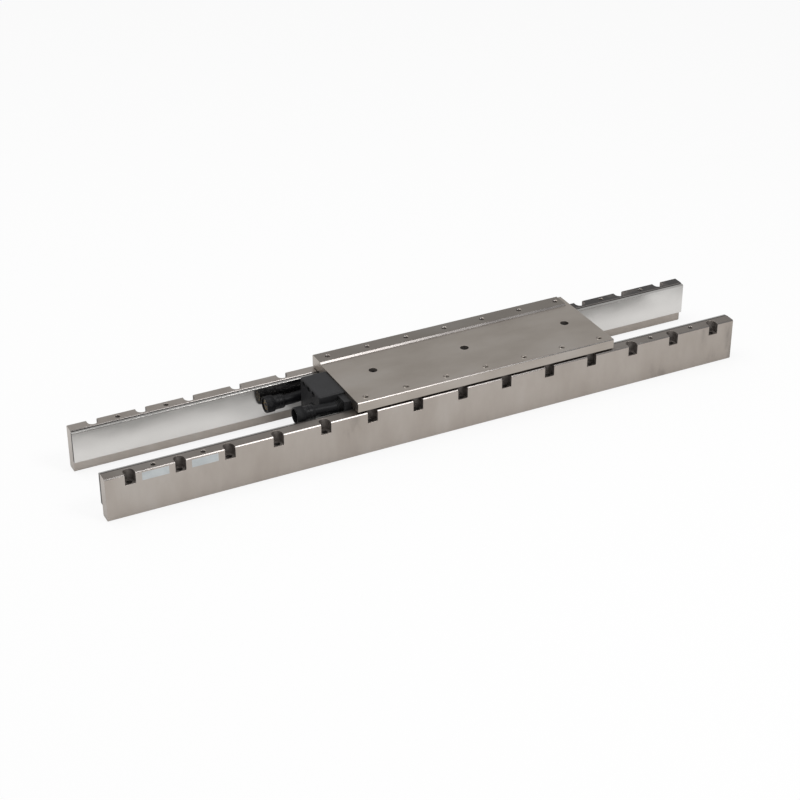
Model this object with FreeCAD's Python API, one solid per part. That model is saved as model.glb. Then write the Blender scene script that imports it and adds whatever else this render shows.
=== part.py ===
import FreeCAD, Part
import math
import os

from FreeCAD import Vector

# Double-sided linear motor, millimetres. X runs along the magnet tracks, Z is up.
# The origin is midway between the two tracks at their middle, on the bed they stand on.

# Magnet tracks
notch_pitch = 54.0
notch_count = 14
yoke_height = 50.0
yoke_thickness = 14.0
yoke_chamfer = 1.2
channel_half_width = 41.8
notch_width = 11.5
notch_reach = 10.8
notch_drop = 12.5
track_bolt_hole = 6.6
top_tap_drill = 5.0
top_tap_mouth = 6.2
top_tap_depth = 12.0
top_tap_inset = 7.0
tapped_bays_each_end = 2

# Magnets and their covers
magnets_per_notch = 2
magnet_thickness = 3.8
magnet_height = 36.0
magnet_gap = 2.0
magnet_top_setback = 1.2
cover_sheet = 0.4
cover_bend = 1.4

# Mounting plate of the moving coil
row_pitch = 48.0
row_count = 7
row_spacing = 96.0
plate_end_margin = 13.5
plate_width = 116.0
plate_thickness = 12.0
plate_lift = 1.0
plate_chamfer = 1.0
land_width = 20.0
land_height = 2.0
land_slope_run = 2.0
land_end_relief = 6.0
row_tap_drill = 5.0
row_tap_mouth = 7.0
row_tap_depth = 9.5
mover_rest_x = 60.5

# Screws that clamp the core under the plate, placed in thirds of the row pitch
clamp_screw_steps = (-7, 0, 8)
clamp_steps_per_row_pitch = 3
clamp_screw = 4.9
clamp_screw_head = 8.5
clamp_screw_head_height = 5.0
clamp_screw_key = 4.0
clamp_screw_key_depth = 2.5
clamp_screw_hole = 5.5
clamp_counterbore = 9.5
clamp_counterbore_depth = 8.0
clamp_thread_clearance = 0.05

# Coil core and windings
air_gap = 0.8
phase_count = 3
teeth_per_row_pitch = 2
core_setback = 3.2
tooth_width = 14.0
spine_width = 20.0
spine_overhang = 1.0
liner_wall = 0.4
winding_build = 4.4
winding_overhang = 3.6
winding_inner_setback = 2.0
winding_outer_setback = 3.0
winding_corner = 3.0
spacer_bar_width = 12.0
tie_bar_thickness = 4.0
potting_under_tie_bar = 4.0
right_cap_thickness = 4.0
right_cap_setback = 1.5
right_cap_chamfer = 1.0

# Terminal block at the left end of the moving coil
shoulder_thickness = 8.0
tower_length = 30.0
tower_side_step = 16.0
tower_top_step = 2.0
tower_bottom_step = 4.0
tower_rounding = 2.0
outlet_boss_height = 7.0
cavity_wall = 3.0
cavity_floor = 4.0
cavity_roof = 15.0
board_ledge = 2.0
board_height_in_cavity = 13.0
board_thickness = 1.6
board_end_clearance = 1.0
board_side_clearance = 0.2
block_screw = 3.0
block_screw_head = 5.5
block_screw_head_height = 3.0
block_screw_key = 2.5
block_screw_hole = 3.4
block_screw_bore = 6.0
block_screw_bore_depth = 5.0
block_screw_pitch = 12.2
block_screw_count = 3
block_screw_shift = 3.0
block_screw_grip = 6.0
block_screw_drop = 4.2
block_thread_clearance = 0.05

# Small parts inside the terminal block and the potting
splice_diameter = 5.0
splice_length = 14.0
splice_pitch = 8.0
splice_wall_gap = 6.0
hall_length = 4.0
hall_width = 4.0
hall_height = 1.6
hall_pitch = 6.0
hall_wall_gap = 8.0
protector_length = 9.0
protector_width = 10.0
protector_height = 4.0
protector_end_gap = 1.5

# Share of its shorter run that each bend of a lead takes
lead_bend_share = 0.45

# Power outlet, a short stiff lead with a round plug
power_inset = 8.6
power_drop = 1.0
power_gland_root = 14.4
power_gland_tip = 13.0
power_gland_length = 6.5
power_lead_diameter = 12.0
power_route = ((-8.0, 0.0, 0.0), (-17.0, 0.9, 0.4), (-25.0, 0.9, 0.4))
plug_diameter = 18.6
plug_length = 22.0
plug_collar_length = 10.0
plug_neck_diameter = 16.0
plug_bore = 15.0
plug_bore_depth = 10.0
plug_insert_recess = 4.0
plug_pin_diameter = 2.0
plug_pin_circle = 8.0
plug_pin_count = 5
plug_pin_reach = 4.0

# Signal outlet, a second short stiff lead whose plug has the same body and a nearly flush insert
signal_inset = 9.0
signal_drop = 17.0
signal_gland_root = 14.4
signal_gland_tip = 13.0
signal_gland_length = 6.5
signal_lead_diameter = 12.0
signal_route = ((-11.0, 0.0, 0.0), (-22.0, -0.5, -0.8), (-33.0, -0.5, -0.8))
signal_insert_recess = 1.5

# Sizes that follow from the ones above
track_length = notch_pitch * notch_count
magnet_pitch = notch_pitch / magnets_per_notch
magnet_count = notch_count * magnets_per_notch
magnet_face = channel_half_width + cover_sheet
yoke_face = magnet_face + magnet_thickness
track_outer = yoke_face + yoke_thickness
magnet_top = yoke_height - magnet_top_setback
magnet_bottom = magnet_top - magnet_height

plate_length = row_pitch * (row_count - 1) + 2 * plate_end_margin
plate_bottom = yoke_height + plate_lift
plate_top = plate_bottom + plate_thickness
land_top = plate_top + land_height
plate_left = mover_rest_x - plate_length / 2
plate_right = mover_rest_x + plate_length / 2

stem_half_width = channel_half_width - air_gap
tooth_pitch = row_pitch / teeth_per_row_pitch
tooth_count = teeth_per_row_pitch * (row_count - 1)
core_half_length = tooth_pitch * tooth_count / 2 + spine_overhang
core_top = magnet_top - core_setback
core_bottom = magnet_bottom + core_setback
liner_top = core_top + liner_wall
liner_bottom = core_bottom - liner_wall
winding_top = liner_top + winding_overhang
winding_bottom = liner_bottom - winding_overhang
winding_inner = spine_width / 2 + winding_inner_setback
winding_outer = stem_half_width - winding_outer_setback
stem_right = plate_right - right_cap_setback - right_cap_thickness
tie_bar_bottom = core_bottom - tie_bar_thickness
potting_bottom = tie_bar_bottom - potting_under_tie_bar
clamp_step = row_pitch / clamp_steps_per_row_pitch
clamp_screw_places = [mover_rest_x + step * clamp_step for step in clamp_screw_steps]
clamp_seat = plate_top - clamp_counterbore_depth

shoulder_face = plate_left - shoulder_thickness
tower_face = plate_left - tower_length
tower_top = plate_top - tower_top_step
tower_bottom = potting_bottom + tower_bottom_step
tower_half_width = stem_half_width - tower_side_step
cavity_half_width = tower_half_width - cavity_wall
cavity_bottom = tower_bottom + cavity_floor
cavity_top = tower_top - cavity_roof
board_seat = cavity_bottom + board_height_in_cavity
board_top = board_seat + board_thickness
block_screw_height = tower_top - block_screw_drop
block_screw_seat = tower_face + block_screw_bore_depth
block_screw_end = plate_left + block_screw_grip
power_side = power_inset - stem_half_width
power_height = plate_bottom - power_drop
signal_side = stem_half_width - signal_inset
signal_height = plate_bottom - signal_drop
block_screw_sides = [
    block_screw_shift + (place - (block_screw_count - 1) / 2) * block_screw_pitch
    for place in range(block_screw_count)
]


def block(x0, x1, y0, y1, z0, z1):
    return Part.makeBox(x1 - x0, y1 - y0, z1 - z0, Vector(x0, y0, z0))


def rod_up(x, y, z0, z1, diameter):
    return Part.makeCylinder(diameter / 2, z1 - z0, Vector(x, y, z0), Vector(0, 0, 1))


def rod_along(x0, x1, y, z, diameter):
    return Part.makeCylinder(diameter / 2, x1 - x0, Vector(x0, y, z), Vector(1, 0, 0))


def extrude_along(points, x0, x1):
    corners = [Vector(x0, y, z) for y, z in points]
    face = Part.Face(Part.makePolygon(corners + corners[:1]))
    return face.extrude(Vector(x1 - x0, 0, 0))


def turn_along(points, y, z):
    # points are (place along X, radius); the outline is closed along the axis
    corners = [Vector(x, y, z + radius) for x, radius in points]
    corners = [Vector(points[0][0], y, z)] + corners + [Vector(points[-1][0], y, z)]
    face = Part.Face(Part.makePolygon(corners + corners[:1]))
    return face.revolve(Vector(0, y, z), Vector(1, 0, 0), 360)


def far_side(shape):
    # the far track is the near one turned half a turn about the upright axis
    turned = shape.copy()
    turned.rotate(Vector(0, 0, 0), Vector(0, 0, 1), 180)
    return turned


def round_edges(shape, radius, wanted):
    edges = [edge for edge in shape.Edges if wanted(edge.BoundBox)]
    return shape.makeFillet(radius, edges)


def hex_socket(x, y, z, across_flats, depth, direction):
    corner = across_flats / math.sqrt(3)
    across = Vector(0, 1, 0)
    third = direction.cross(across)
    centre = Vector(x, y, z)
    corners = []
    for side in range(6):
        angle = math.pi * side / 3
        corners.append(centre + across * corner * math.cos(angle) + third * corner * math.sin(angle))
    return Part.Face(Part.makePolygon(corners + corners[:1])).extrude(direction * depth)


def save(name, solids):
    group = solids if isinstance(solids, list) else [solids]
    shape = group[0] if len(group) == 1 else Part.makeCompound(group)
    shape.exportStep("parts/" + name + ".step")


def notch_places():
    return [notch_pitch * (index - (notch_count - 1) / 2) for index in range(notch_count)]


def tapped_bay_places():
    notches = notch_places()
    bays = [(left + right) / 2 for left, right in zip(notches, notches[1:])]
    return bays[:tapped_bays_each_end] + bays[-tapped_bays_each_end:]


def tapped_hole(x, y, top, drill, mouth, depth):
    hole = rod_up(x, y, top - depth, top, drill)
    flare = (mouth - drill) / 2
    cone = Part.makeCone(drill / 2, mouth / 2, flare, Vector(x, y, top - flare), Vector(0, 0, 1))
    return hole.fuse(cone)


def head_notch(x):
    # U-shaped pocket for a bolt head, milled in from the outer top edge, with its bolt hole
    radius = notch_width / 2
    centre = -track_outer + notch_reach - radius
    floor = yoke_height - notch_drop
    slot = block(x - radius, x + radius, -track_outer - radius, centre, floor, yoke_height)
    pocket = slot.fuse(rod_up(x, centre, floor, yoke_height, notch_width))
    return pocket.fuse(rod_up(x, centre, 0, floor, track_bolt_hole))


def near_yoke():
    outer = -track_outer
    inner = -yoke_face
    cut = yoke_chamfer
    outline = [
        (outer + cut, 0),
        (inner - cut, 0),
        (inner, cut),
        (inner, yoke_height - cut),
        (inner - cut, yoke_height),
        (outer + cut, yoke_height),
        (outer, yoke_height - cut),
        (outer, cut),
    ]
    bar = extrude_along(outline, -track_length / 2, track_length / 2)
    cuts = [head_notch(x) for x in notch_places()]
    side = outer + top_tap_inset
    for x in tapped_bay_places():
        cuts.append(tapped_hole(x, side, yoke_height, top_tap_drill, top_tap_mouth, top_tap_depth))
    return bar.cut(cuts)


def magnet_places():
    return [magnet_pitch * (index - (magnet_count - 1) / 2) for index in range(magnet_count)]


def near_magnets(first):
    # every other magnet of the near row, starting with the one at place `first`
    half = (magnet_pitch - magnet_gap) / 2
    return [
        block(x - half, x + half, -yoke_face, -magnet_face, magnet_bottom, magnet_top)
        for x in magnet_places()[first::2]
    ]


def near_gap_resin():
    # strips of resin between the magnets and at both ends of the row
    strips = []
    edge = -track_length / 2
    for x in magnet_places():
        start = x - (magnet_pitch - magnet_gap) / 2
        strips.append(block(edge, start, -yoke_face, -magnet_face, magnet_bottom, magnet_top))
        edge = x + (magnet_pitch - magnet_gap) / 2
    strips.append(block(edge, track_length / 2, -yoke_face, -magnet_face, magnet_bottom, magnet_top))
    return strips


def near_magnet_cover():
    # thin sheet bent round the magnets, open towards the yoke
    half = track_length / 2
    low = magnet_bottom - cover_sheet
    high = magnet_top + cover_sheet
    outside = block(-half, half, -yoke_face, -channel_half_width, low, high)
    front = -channel_half_width - cover_sheet
    outside = round_edges(outside, cover_bend, lambda box: box.XLength > half and box.YMin > front)
    inside = block(-half, half, -yoke_face, -magnet_face, magnet_bottom, magnet_top)
    return outside.cut(inside)


def row_places():
    return [mover_rest_x + row_pitch * (index - (row_count - 1) / 2) for index in range(row_count)]


def mounting_plate():
    side = plate_width / 2
    cut = plate_chamfer
    step = side - land_width
    outline = [
        (-side + cut, plate_bottom),
        (side - cut, plate_bottom),
        (side, plate_bottom + cut),
        (side, land_top - cut),
        (side - cut, land_top),
        (step, land_top),
        (step - land_slope_run, plate_top),
        (-side + cut, plate_top),
        (-side, plate_top - cut),
        (-side, plate_bottom + cut),
    ]
    plate = extrude_along(outline, plate_left, plate_right)
    relief_start = plate_right - land_end_relief
    foot = step - land_slope_run
    relief = block(relief_start, plate_right + cut, foot - cut, side + cut, plate_top, land_top)
    cuts = [relief]
    for x in row_places():
        for y, top in ((-row_spacing / 2, plate_top), (row_spacing / 2, land_top)):
            depth = row_tap_depth + top - plate_top
            cuts.append(tapped_hole(x, y, top, row_tap_drill, row_tap_mouth, depth))
    for x in clamp_screw_places:
        cuts.append(rod_up(x, 0, clamp_seat, plate_top, clamp_counterbore))
        cuts.append(rod_up(x, 0, plate_bottom, clamp_seat, clamp_screw_hole))
    for y in block_screw_sides:
        drill = block_screw + 2 * block_thread_clearance
        cuts.append(rod_along(plate_left, block_screw_end + block_screw, y, block_screw_height, drill))
    return plate.cut(cuts)


def tooth_places():
    return [mover_rest_x + tooth_pitch * (index - (tooth_count - 1) / 2) for index in range(tooth_count)]


def core_without_holes():
    # laminations lie flat: a spine along the middle with straight teeth out to both sides
    left = mover_rest_x - core_half_length
    right = mover_rest_x + core_half_length
    spine = block(left, right, -spine_width / 2, spine_width / 2, core_bottom, core_top)
    half = tooth_width / 2
    teeth = [
        block(x - half, x + half, -stem_half_width, stem_half_width, core_bottom, core_top)
        for x in tooth_places()
    ]
    return spine.fuse(teeth).removeSplitter()


def clamp_holes(z0, z1, diameter):
    return [rod_up(x, 0, z0, z1, diameter) for x in clamp_screw_places]


def coil_core():
    return core_without_holes().cut(clamp_holes(core_bottom, core_top, clamp_screw_hole))


def core_spacer_bar():
    left = mover_rest_x - core_half_length
    right = mover_rest_x + core_half_length
    bar = block(left, right, -spacer_bar_width / 2, spacer_bar_width / 2, core_top, plate_bottom)
    return bar.cut(clamp_holes(core_top, plate_bottom, clamp_screw_hole))


def core_tie_bar():
    left = mover_rest_x - core_half_length
    right = mover_rest_x + core_half_length
    half = spacer_bar_width / 2
    bar = block(left, right, -half, half, tie_bar_bottom, core_bottom)
    drill = clamp_screw + 2 * clamp_thread_clearance
    return bar.cut(clamp_holes(tie_bar_bottom, core_bottom, drill))


def clamp_screws():
    screws = []
    for x in clamp_screw_places:
        head_top = clamp_seat + clamp_screw_head_height
        head = rod_up(x, 0, clamp_seat, head_top, clamp_screw_head)
        shank = rod_up(x, 0, tie_bar_bottom, clamp_seat, clamp_screw)
        socket = hex_socket(x, 0, head_top, clamp_screw_key, clamp_screw_key_depth, Vector(0, 0, -1))
        screws.append(head.fuse(shank).cut(socket))
    return screws


def ring_outline(x, width, low, high, y0, y1, corner):
    # upright block round one tooth, with its four long edges rounded
    shape = block(x - width / 2, x + width / 2, y0, y1, low, high)
    if corner > 0:
        shape = round_edges(shape, corner, lambda box: box.YLength > (y1 - y0) / 2)
    return shape


def winding_envelope(x, y0, y1):
    width = tooth_width + 2 * (liner_wall + winding_build)
    return ring_outline(x, width, winding_bottom, winding_top, y0, y1, winding_corner)


def liner_envelope(x, y0, y1):
    width = tooth_width + 2 * liner_wall
    return ring_outline(x, width, liner_bottom, liner_top, y0, y1, 0)


def winding_spans():
    return [(-winding_outer, -winding_inner), (winding_inner, winding_outer)]


def tooth_liners():
    liners = []
    for x in tooth_places():
        half = tooth_width / 2
        for y0, y1 in winding_spans():
            tooth = block(x - half, x + half, y0, y1, core_bottom, core_top)
            liners.append(liner_envelope(x, y0, y1).cut(tooth))
    return liners


def phase_windings(phase):
    coils = []
    for x in tooth_places()[phase::phase_count]:
        for y0, y1 in winding_spans():
            coils.append(winding_envelope(x, y0, y1).cut(liner_envelope(x, y0, y1)))
    return coils


def thermal_protector():
    x1 = mover_rest_x - core_half_length - protector_end_gap
    half = protector_width / 2
    middle = (core_bottom + core_top) / 2
    lift = protector_height / 2
    return block(x1 - protector_length, x1, -half, half, middle - lift, middle + lift)


def coil_potting():
    body = block(
        plate_left, stem_right, -stem_half_width, stem_half_width, potting_bottom, plate_bottom
    )
    left = mover_rest_x - core_half_length
    right = mover_rest_x + core_half_length
    half = spacer_bar_width / 2
    cuts = [core_without_holes(), thermal_protector()]
    cuts.append(block(left, right, -half, half, tie_bar_bottom, plate_bottom))
    for x in tooth_places():
        for y0, y1 in winding_spans():
            cuts.append(winding_envelope(x, y0, y1))
    return body.cut(cuts)


def right_end_cap():
    side = stem_half_width
    cut = right_cap_chamfer
    outline = [
        (-side + cut, potting_bottom),
        (side - cut, potting_bottom),
        (side, potting_bottom + cut),
        (side, plate_bottom),
        (-side, plate_bottom),
        (-side, potting_bottom + cut),
    ]
    return extrude_along(outline, stem_right, stem_right + right_cap_thickness)


def on_tower_end_or_top(box):
    if box.XMax < tower_face + tower_rounding:
        return True
    return box.ZMin > tower_top - tower_rounding and box.XLength > tower_length / 2


def terminal_block():
    # shoulder over the whole end of the stem, a narrower tower up to the plate's level,
    # and a boss beside it that the power lead comes out of
    half = tower_half_width
    tower = block(tower_face, plate_left, -half, half, tower_bottom, tower_top)
    tower = round_edges(tower, tower_rounding, on_tower_end_or_top)
    shoulder = block(
        shoulder_face, plate_left, -stem_half_width, stem_half_width, potting_bottom, plate_bottom
    )
    boss = block(
        shoulder_face, plate_left, -stem_half_width, -half, plate_bottom, plate_bottom + outlet_boss_height
    )
    upper = block(
        tower_face + cavity_wall, plate_left, -cavity_half_width, cavity_half_width, board_seat, cavity_top
    )
    ledge = cavity_half_width - board_ledge
    lower = block(tower_face + cavity_wall, plate_left, -ledge, ledge, cavity_bottom, board_seat)
    cuts = [upper, lower]
    for y in block_screw_sides:
        cuts.append(rod_along(tower_face, block_screw_seat, y, block_screw_height, block_screw_bore))
        cuts.append(rod_along(block_screw_seat, plate_left, y, block_screw_height, block_screw_hole))
    return tower.fuse([shoulder, boss]).removeSplitter().cut(cuts)


def block_screws():
    screws = []
    z = block_screw_height
    for y in block_screw_sides:
        head_end = block_screw_seat - block_screw_head_height
        head = rod_along(head_end, block_screw_seat, y, z, block_screw_head)
        shank = rod_along(block_screw_seat, block_screw_end, y, z, block_screw)
        socket = hex_socket(head_end, y, z, block_screw_key, block_screw_head_height / 2, Vector(1, 0, 0))
        screws.append(head.fuse(shank).cut(socket))
    return screws


def terminal_board():
    half = cavity_half_width - board_side_clearance
    left = tower_face + cavity_wall + board_end_clearance
    return block(left, plate_left - board_end_clearance, -half, half, board_seat, board_top)


def lead_splices():
    x1 = plate_left - 2 * board_end_clearance
    lift = board_top + splice_diameter / 2
    splices = []
    for place in range(phase_count):
        y = splice_wall_gap - cavity_half_width + splice_pitch * place
        splices.append(rod_along(x1 - splice_length, x1, y, lift, splice_diameter))
    return splices


def hall_sensors():
    sensors = []
    middle = (tower_face + cavity_wall + plate_left) / 2
    for place in range(phase_count):
        x = middle + hall_pitch * (place - 1) - hall_length / 2
        y = cavity_half_width - hall_wall_gap - hall_width / 2
        sensors.append(block(x, x + hall_length, y, y + hall_width, board_top, board_top + hall_height))
    return sensors


def lead_gland(y, z, root, tip, length):
    return turn_along([(shoulder_face - length, tip / 2), (shoulder_face, root / 2)], y, z)


def route_points(side, height, start, route):
    first = Vector(start, side, height)
    return [first] + [first + Vector(*step) for step in route]


def power_points():
    start = shoulder_face - power_gland_length
    return route_points(power_side, power_height, start, power_route)


def signal_points():
    start = shoulder_face - signal_gland_length
    return route_points(signal_side, signal_height, start, signal_route)


def lead_tube(points, diameter, name):
    # straight runs joined by tangent arcs
    edges = []
    start = points[0]
    for before, corner, after in zip(points, points[1:], points[2:]):
        arrive = (corner - before).normalize()
        leave = (after - corner).normalize()
        turn = arrive.getAngle(leave)
        reach = lead_bend_share * min(before.distanceToPoint(corner), corner.distanceToPoint(after))
        radius = reach / math.tan(turn / 2)
        print(name, "bend radius", round(radius, 1), "mm")
        arc_start = corner - arrive * reach
        arc_end = corner + leave * reach
        inward = (leave - arrive).normalize()
        centre = corner + inward * math.hypot(radius, reach)
        middle = centre + (corner - centre).normalize() * radius
        edges.append(Part.LineSegment(start, arc_start).toShape())
        edges.append(Part.Arc(arc_start, middle, arc_end).toShape())
        start = arc_end
    edges.append(Part.LineSegment(start, points[-1]).toShape())
    path = Part.Wire(edges)
    ring = Part.Wire(Part.makeCircle(diameter / 2, points[0], (points[1] - points[0]).normalize()))
    tube = path.makePipeShell([ring], True, False)
    ideal = math.pi * diameter ** 2 / 4 * path.Length
    print(name, "length", round(path.Length, 1), "mm, volume ratio", round(tube.Volume / ideal, 4))
    return tube


def plug_front(back):
    return back.x - plug_length


def power_plug_shell():
    back = power_points()[-1]
    front = plug_front(back)
    collar = front + plug_collar_length
    outline = [
        (front, plug_diameter / 2),
        (collar, plug_diameter / 2),
        (collar, plug_neck_diameter / 2),
        (back.x, plug_neck_diameter / 2),
    ]
    shell = turn_along(outline, back.y, back.z)
    return shell.cut(rod_along(front, front + plug_bore_depth, back.y, back.z, plug_bore))


def pin_tips():
    return plug_front(power_points()[-1]) + plug_insert_recess


def power_plug_insert():
    back = power_points()[-1]
    seat = plug_front(back) + plug_bore_depth
    return rod_along(pin_tips() + plug_pin_reach, seat, back.y, back.z, plug_bore)


def power_plug_pins():
    back = power_points()[-1]
    root = pin_tips() + plug_pin_reach
    pins = []
    for place in range(plug_pin_count):
        angle = 2 * math.pi * place / plug_pin_count
        y = back.y + plug_pin_circle / 2 * math.cos(angle)
        z = back.z + plug_pin_circle / 2 * math.sin(angle)
        pins.append(rod_along(pin_tips(), root, y, z, plug_pin_diameter))
    return pins


def signal_plug_hood():
    # the rear of the plug, moulded on the lead, with the ring in front of it
    back = signal_points()[-1]
    ring_back = plug_front(back) + plug_collar_length
    return rod_along(ring_back, back.x, back.y, back.z, plug_neck_diameter)


def signal_plug_face():
    back = signal_points()[-1]
    front = plug_front(back)
    ring = rod_along(front, front + plug_collar_length, back.y, back.z, plug_diameter)
    return ring.cut(rod_along(front, front + plug_collar_length, back.y, back.z, plug_bore))


def signal_plug_insert():
    back = signal_points()[-1]
    front = plug_front(back)
    return rod_along(
        front + signal_insert_recess, front + plug_collar_length, back.y, back.z, plug_bore
    )


os.makedirs("parts", exist_ok=True)

yoke = near_yoke()
cover = near_magnet_cover()
resin = near_gap_resin()
save("near_yoke", yoke)
save("far_yoke", far_side(yoke))
save("near_magnet_cover", cover)
save("far_magnet_cover", far_side(cover))
save("near_magnets_north", near_magnets(0))
save("near_magnets_south", near_magnets(1))
save("far_magnets_north", [far_side(magnet) for magnet in near_magnets(0)])
save("far_magnets_south", [far_side(magnet) for magnet in near_magnets(1)])
save("near_gap_resin", resin)
save("far_gap_resin", [far_side(strip) for strip in resin])

save("mounting_plate", mounting_plate())
save("coil_core", coil_core())
save("core_spacer_bar", core_spacer_bar())
save("core_tie_bar", core_tie_bar())
save("clamp_screws", clamp_screws())
save("tooth_liners", tooth_liners())
save("windings_u", phase_windings(0))
save("windings_v", phase_windings(1))
save("windings_w", phase_windings(2))
save("thermal_protector", thermal_protector())
save("coil_potting", coil_potting())
save("right_end_cap", right_end_cap())

save("terminal_block", terminal_block())
save("block_screws", block_screws())
save("terminal_board", terminal_board())
save("lead_splices", lead_splices())
save("hall_sensors", hall_sensors())

save(
    "power_gland",
    lead_gland(power_side, power_height, power_gland_root, power_gland_tip, power_gland_length),
)
save("power_lead", lead_tube(power_points(), power_lead_diameter, "power lead"))
save("power_plug_shell", power_plug_shell())
save("power_plug_insert", power_plug_insert())
save("power_plug_pins", power_plug_pins())
save(
    "signal_gland",
    lead_gland(signal_side, signal_height, signal_gland_root, signal_gland_tip, signal_gland_length),
)
save("signal_lead", lead_tube(signal_points(), signal_lead_diameter, "signal lead"))
save("signal_plug_hood", signal_plug_hood())
save("signal_plug_face", signal_plug_face())
save("signal_plug_insert", signal_plug_insert())
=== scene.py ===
import math

import bmesh
import bpy
from mathutils import Matrix, Vector


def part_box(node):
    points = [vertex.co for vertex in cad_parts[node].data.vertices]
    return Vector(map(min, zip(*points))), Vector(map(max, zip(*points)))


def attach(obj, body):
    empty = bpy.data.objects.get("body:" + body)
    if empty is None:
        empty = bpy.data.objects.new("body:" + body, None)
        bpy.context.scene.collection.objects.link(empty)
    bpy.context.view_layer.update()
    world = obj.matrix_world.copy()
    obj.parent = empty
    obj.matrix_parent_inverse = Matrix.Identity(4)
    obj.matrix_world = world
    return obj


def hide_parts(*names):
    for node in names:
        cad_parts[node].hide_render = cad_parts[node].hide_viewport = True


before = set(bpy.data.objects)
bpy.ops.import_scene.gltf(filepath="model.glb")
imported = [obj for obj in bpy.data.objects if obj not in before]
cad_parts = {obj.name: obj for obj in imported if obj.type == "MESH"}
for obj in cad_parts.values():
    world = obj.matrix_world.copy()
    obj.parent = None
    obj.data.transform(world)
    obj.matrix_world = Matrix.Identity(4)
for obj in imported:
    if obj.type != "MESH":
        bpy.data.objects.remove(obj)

scene = bpy.context.scene
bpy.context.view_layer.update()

# Camera. It stands in front of the motor and to its left, two metres off, and looks down on
# it at thirty degrees through a long lens, so that the tracks hardly taper.
camera_turn = math.radians(-26.55)
camera_rise = math.radians(30.15)
camera_roll = math.radians(-0.16)
camera_offset = Vector((-0.01702, 0.01038, 2.1369))
camera_lens = 86.89
camera_sensor = 36.0

backward = Vector(
    (
        math.sin(camera_turn) * math.cos(camera_rise),
        -math.cos(camera_turn) * math.cos(camera_rise),
        math.sin(camera_rise),
    )
)
sideways = Vector((math.cos(camera_turn), math.sin(camera_turn), 0))
upright = backward.cross(sideways)
camera_axes = Matrix((sideways, upright, backward)).transposed()
camera_axes = camera_axes @ Matrix.Rotation(camera_roll, 3, "Z")
camera = bpy.data.objects.new("camera", bpy.data.cameras.new("camera"))
camera.data.lens = camera_lens
camera.data.sensor_width = camera_sensor
camera.data.clip_end = 50.0
camera.matrix_world = Matrix.Translation(camera_axes @ camera_offset) @ camera_axes.to_4x4()
scene.collection.objects.link(camera)
scene.camera = camera
scene.view_settings.view_transform = "Standard"


# Studio. A wide white floor under soft lamps: one panel in front and to the right that lights
# the eased edges, one overhead, and a grey room around them.
class Amount:
    """A value that changes over a surface. Sums on it add Math nodes."""

    def __init__(self, sheet, socket):
        self.sheet = sheet
        self.socket = socket

    def joined(self, operation, first, second):
        return self.sheet.node("ShaderNodeMath", {"operation": operation}, {0: first, 1: second})

    def __add__(self, other):
        return self.joined("ADD", self, other)

    def __radd__(self, other):
        return self.joined("ADD", other, self)

    def __sub__(self, other):
        return self.joined("SUBTRACT", self, other)

    def __mul__(self, other):
        return self.joined("MULTIPLY", self, other)


class NodeSheet:
    """A node tree that is filled in from Python."""

    def __init__(self, tree):
        self.tree = tree

    def node(self, kind, settings=None, inputs=None, output=0):
        made = self.tree.nodes.new(kind)
        for name, value in (settings or {}).items():
            if name == "stops":
                ramp = made.color_ramp.elements
                while len(ramp) < len(value):
                    ramp.new(1.0)
                for stop, (place, colour) in zip(ramp, value):
                    stop.position = place
                    stop.color = (*colour, 1.0)
            else:
                setattr(made, name, value)
        for name, value in (inputs or {}).items():
            self.feed(made.inputs[name], value)
        return Amount(self, made.outputs[output]) if made.outputs else None

    def feed(self, socket, value):
        if isinstance(value, Amount):
            self.tree.links.new(value.socket, socket)
        else:
            socket.default_value = value


def plain_view(sheet):
    # one for what the camera sees by itself or through glass
    camera_ray = sheet.node("ShaderNodeLightPath", output="Is Camera Ray")
    through_ray = sheet.node("ShaderNodeLightPath", output="Is Transmission Ray")
    return camera_ray + through_ray


floor_reach = 20.0
floor_drop = 0.0003
floor_white = 0.88
camera_share = 0.84
glossy_share = 0.15
room_grey = 0.62

floor_mesh = bpy.data.meshes.new("floor")
floor_mesh.from_pydata(
    [
        (-floor_reach, -floor_reach, -floor_drop),
        (floor_reach, -floor_reach, -floor_drop),
        (floor_reach, floor_reach, -floor_drop),
        (-floor_reach, floor_reach, -floor_drop),
    ],
    [],
    [(0, 1, 2, 3)],
)
floor = bpy.data.objects.new("floor", floor_mesh)
scene.collection.objects.link(floor)
floor_paint = bpy.data.materials.new("floor_paint")
floor_paint.use_nodes = True
floor_paint.node_tree.nodes.clear()
sheet = NodeSheet(floor_paint.node_tree)
paint = sheet.node("ShaderNodeBsdfDiffuse", inputs={"Color": (floor_white, floor_white, floor_white, 1)})
glow = sheet.node("ShaderNodeEmission", inputs={"Color": (1, 1, 1, 1), "Strength": 1.0})
seen = plain_view(sheet) * camera_share
seen = seen + sheet.node("ShaderNodeLightPath", output="Is Glossy Ray") * glossy_share
blend = sheet.node("ShaderNodeMixShader", inputs={0: seen, 1: paint, 2: glow})
sheet.node("ShaderNodeOutputMaterial", inputs={"Surface": blend})
floor_mesh.materials.append(floor_paint)

world = bpy.data.worlds.new("room")
world.use_nodes = True
walls = NodeSheet(world.node_tree)
room = world.node_tree.nodes["Background"].inputs
room["Color"].default_value = (1, 1, 1, 1)
walls.feed(room["Strength"], plain_view(walls) * (1 - room_grey) + room_grey)
scene.world = world


def add_lamp(name, place, aim, width, height, power):
    lamp = bpy.data.lights.new(name, "AREA")
    lamp.shape = "RECTANGLE"
    lamp.size = width
    lamp.size_y = height
    lamp.energy = power
    holder = bpy.data.objects.new(name, lamp)
    direction = Vector(aim) - Vector(place)
    holder.matrix_world = (
        Matrix.Translation(Vector(place)) @ direction.to_track_quat("-Z", "Y").to_matrix().to_4x4()
    )
    scene.collection.objects.link(holder)


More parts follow.
